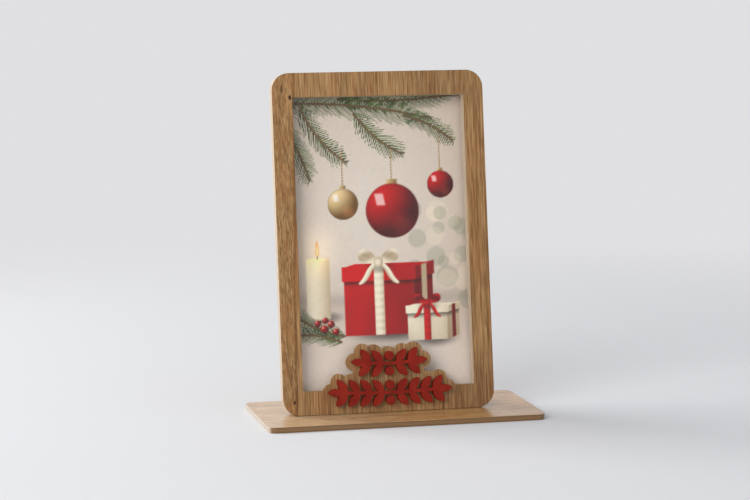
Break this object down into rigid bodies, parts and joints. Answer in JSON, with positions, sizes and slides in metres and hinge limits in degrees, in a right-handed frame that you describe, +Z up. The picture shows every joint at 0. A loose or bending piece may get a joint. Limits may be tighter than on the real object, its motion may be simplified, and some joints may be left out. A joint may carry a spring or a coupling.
{
  "type": "photo frame",
  "caption": "Wooden photo frame of laser-cut sheets, leaning back in a slotted base, with a top-loading pocket behind its window and a leaf badge at its foot.",
  "frame": {"origin": "the middle of the base board's underside, on the surface that the frame stands on", "axes": "+X to the right as one looks at the picture, +Y to the back, +Z up"},
  "size_m": [0.144, 0.071, 0.1763],
  "materials": {
    "frame_wood": "satin oak veneer, grain upright",
    "base_wood": "satin oak veneer, grain along the length",
    "back_wood": "plain sanded wood",
    "red_trim": "satin red",
    "clear_sheet": "clear polished",
    "paper": "printed, semi-gloss",
    "grey_card": "raw grey board"
  },
  "bodies": {
    "base": {"base_board": "base_wood", "brace_left": "back_wood", "brace_right": "back_wood"},
    "frame": {"front_frame": "frame_wood", "inner_frame": "frame_wood", "spacer_left": "back_wood", "spacer_right": "back_wood", "spacer_bottom": "back_wood", "back_panel": "back_wood", "lower_garland": "red_trim", "upper_garland": "red_trim", "berry_1": "red_trim", "berry_2": "red_trim", "berry_3": "red_trim", "berry_4": "red_trim"},
    "cover": {"clear_cover": "clear_sheet"},
    "print": {"photo_print": "paper", "backing_card": "grey_card"}
  },
  "joints": [
    {"name": "frame_lift", "type": "slide", "parent": "base", "child": "frame", "axis": [0, 0.1392, 0.9903], "range_m": [0, 0.03]},
    {"name": "cover_slide", "type": "slide", "parent": "frame", "child": "cover", "axis": [0, 0.1392, 0.9903], "range_m": [0, 0.165]},
    {"name": "print_slide", "type": "slide", "parent": "frame", "child": "print", "axis": [0, 0.1392, 0.9903], "range_m": [0, 0.165]}
  ]
}
